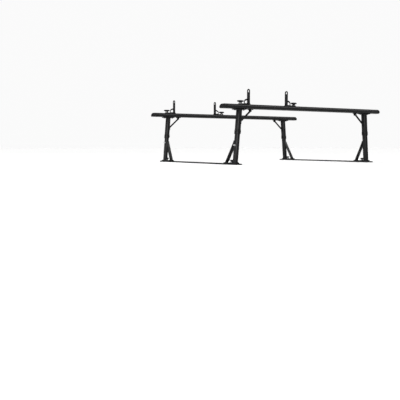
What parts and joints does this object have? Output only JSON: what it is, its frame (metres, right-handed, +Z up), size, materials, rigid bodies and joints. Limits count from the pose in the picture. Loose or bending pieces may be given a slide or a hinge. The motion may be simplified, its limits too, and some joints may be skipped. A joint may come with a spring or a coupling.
{
  "type": "truck bed ladder rack",
  "caption": "Black overhead ladder rack for a pickup bed: low base rails, braced telescoping uprights, wing-section crossbars and sliding load stops.",
  "frame": {"origin": "middle of the rack on the plane that the base rails stand on", "axes": "+X to the vehicle's right along the crossbars, +Y to the vehicle's front along the base rails, +Z up"},
  "size_m": [1.8, 1.328, 0.628],
  "materials": {
    "coated_metal": "satin black powder coat",
    "coated_steel": "satin black powder coat over steel",
    "black_plastic": "moulded black, fine grain",
    "zinc_steel": "bright zinc plate"
  },
  "bodies": {
    "base": {"left_base_rail": "coated_metal", "right_base_rail": "coated_metal"},
    "rear_frame": {"rear_left_foot": "coated_metal", "rear_left_post": "coated_metal", "rear_left_brace": "coated_metal", "rear_left_foot_nut": "zinc_steel", "rear_right_foot": "coated_metal", "rear_right_post": "coated_metal", "rear_right_brace": "coated_metal", "rear_right_foot_nut": "zinc_steel"},
    "rear_bar": {"rear_crossbar": "coated_metal", "rear_left_end_cap": "black_plastic", "rear_right_end_cap": "black_plastic"},
    "rear_left_head": {"rear_left_sleeve": "coated_metal", "rear_left_collar": "coated_steel", "rear_left_saddle": "coated_metal", "rear_left_strut": "coated_steel", "rear_left_strut_bracket": "coated_steel"},
    "rear_left_foot_handle": {"rear_left_foot_knob": "black_plastic"},
    "rear_right_head": {"rear_right_sleeve": "coated_metal", "rear_right_collar": "coated_steel", "rear_right_saddle": "coated_metal", "rear_right_strut": "coated_steel", "rear_right_strut_bracket": "coated_steel"},
    "rear_right_foot_handle": {"rear_right_foot_knob": "black_plastic"},
    "rear_left_stop_slider": {"rear_left_stop": "coated_metal", "rear_left_stop_nut": "zinc_steel"},
    "rear_left_stop_handle": {"rear_left_stop_knob": "black_plastic"},
    "rear_right_stop_slider": {"rear_right_stop": "coated_metal", "rear_right_stop_nut": "zinc_steel"},
    "rear_right_stop_handle": {"rear_right_stop_knob": "black_plastic"},
    "front_frame": {"front_left_foot": "coated_metal", "front_left_post": "coated_metal", "front_left_brace": "coated_metal", "front_left_foot_nut": "zinc_steel", "front_right_foot": "coated_metal", "front_right_post": "coated_metal", "front_right_brace": "coated_metal", "front_right_foot_nut": "zinc_steel"},
    "front_bar": {"front_crossbar": "coated_metal", "front_left_end_cap": "black_plastic", "front_right_end_cap": "black_plastic"},
    "front_left_head": {"front_left_sleeve": "coated_metal", "front_left_collar": "coated_steel", "front_left_saddle": "coated_metal", "front_left_strut": "coated_steel", "front_left_strut_bracket": "coated_steel"},
    "front_left_foot_handle": {"front_left_foot_knob": "black_plastic"},
    "front_right_head": {"front_right_sleeve": "coated_metal", "front_right_collar": "coated_steel", "front_right_saddle": "coated_metal", "front_right_strut": "coated_steel", "front_right_strut_bracket": "coated_steel"},
    "front_right_foot_handle": {"front_right_foot_knob": "black_plastic"},
    "front_left_stop_slider": {"front_left_stop": "coated_metal", "front_left_stop_nut": "zinc_steel"},
    "front_left_stop_handle": {"front_left_stop_knob": "black_plastic"},
    "front_right_stop_slider": {"front_right_stop": "coated_metal", "front_right_stop_nut": "zinc_steel"},
    "front_right_stop_handle": {"front_right_stop_knob": "black_plastic"}
  },
  "joints": [
    {"name": "rear_frame_slide", "type": "slide", "parent": "base", "child": "rear_frame", "axis": [0, 1, 0], "range_m": [-0.02, 0.35]},
    {"name": "rear_bar_lift", "type": "slide", "parent": "rear_frame", "child": "rear_bar", "axis": [0, 0, 1], "range_m": [-0.04, 0.1]},
    {"name": "rear_left_sleeve_slide", "type": "slide", "parent": "rear_frame", "child": "rear_left_head", "axis": [0.086, 0, 0.9963], "range_m": [-0.0411, 0.1014]},
    {"name": "rear_left_foot_knob_turn", "type": "hinge", "parent": "rear_frame", "child": "rear_left_foot_handle", "pos_m": [-0.7625, -0.551, 0.03], "axis": [0, 0, 1], "continuous": true},
    {"name": "rear_right_sleeve_slide", "type": "slide", "parent": "rear_frame", "child": "rear_right_head", "axis": [-0.086, 0, 0.9963], "range_m": [-0.0411, 0.1014]},
    {"name": "rear_right_foot_knob_turn", "type": "hinge", "parent": "rear_frame", "child": "rear_right_foot_handle", "pos_m": [0.7625, -0.551, 0.03], "axis": [0, 0, 1], "continuous": true},
    {"name": "rear_left_stop_slide", "type": "slide", "parent": "rear_bar", "child": "rear_left_stop_slider", "axis": [1, 0, 0], "range_m": [-0.08, 0.12]},
    {"name": "rear_left_stop_knob_turn", "type": "hinge", "parent": "rear_left_stop_slider", "child": "rear_left_stop_handle", "pos_m": [-0.712, -0.6, 0.514], "axis": [0, 0, 1], "continuous": true},
    {"name": "rear_right_stop_slide", "type": "slide", "parent": "rear_bar", "child": "rear_right_stop_slider", "axis": [1, 0, 0], "range_m": [-0.12, 0.9]},
    {"name": "rear_right_stop_knob_turn", "type": "hinge", "parent": "rear_right_stop_slider", "child": "rear_right_stop_handle", "pos_m": [-0.142, -0.6, 0.514], "axis": [0, 0, 1], "continuous": true},
    {"name": "front_frame_slide", "type": "slide", "parent": "base", "child": "front_frame", "axis": [0, 1, 0], "range_m": [-0.35, 0.02]},
    {"name": "front_bar_lift", "type": "slide", "parent": "front_frame", "child": "front_bar", "axis": [0, 0, 1], "range_m": [-0.02, 0.12]},
    {"name": "front_left_sleeve_slide", "type": "slide", "parent": "front_frame", "child": "front_left_head", "axis": [0.086, 0, 0.9963], "range_m": [-0.0211, 0.1214]},
    {"name": "front_left_foot_knob_turn", "type": "hinge", "parent": "front_frame", "child": "front_left_foot_handle", "pos_m": [-0.7625, 0.551, 0.03], "axis": [0, 0, 1], "continuous": true},
    {"name": "front_right_sleeve_slide", "type": "slide", "parent": "front_frame", "child": "front_right_head", "axis": [-0.086, 0, 0.9963], "range_m": [-0.0211, 0.1214]},
    {"name": "front_right_foot_knob_turn", "type": "hinge", "parent": "front_frame", "child": "front_right_foot_handle", "pos_m": [0.7625, 0.551, 0.03], "axis": [0, 0, 1], "continuous": true},
    {"name": "front_left_stop_slide", "type": "slide", "parent": "front_bar", "child": "front_left_stop_slider", "axis": [1, 0, 0], "range_m": [-0.08, 0.12]},
    {"name": "front_left_stop_knob_turn", "type": "hinge", "parent": "front_left_stop_slider", "child": "front_left_stop_handle", "pos_m": [-0.741, 0.6, 0.492], "axis": [0, 0, 1], "continuous": true},
    {"name": "front_right_stop_slide", "type": "slide", "parent": "front_bar", "child": "front_right_stop_slider", "axis": [1, 0, 0], "range_m": [-0.12, 0.85]},
    {"name": "front_right_stop_knob_turn", "type": "hinge", "parent": "front_right_stop_slider", "child": "front_right_stop_handle", "pos_m": [-0.093, 0.6, 0.492], "axis": [0, 0, 1], "continuous": true}
  ],
  "couplings": [
    {"joint": "rear_left_sleeve_slide", "follows": "rear_bar_lift", "ratio": 1.0037},
    {"joint": "rear_right_sleeve_slide", "follows": "rear_bar_lift", "ratio": 1.0037},
    {"joint": "front_left_sleeve_slide", "follows": "front_bar_lift", "ratio": 1.0037},
    {"joint": "front_right_sleeve_slide", "follows": "front_bar_lift", "ratio": 1.0037}
  ]
}
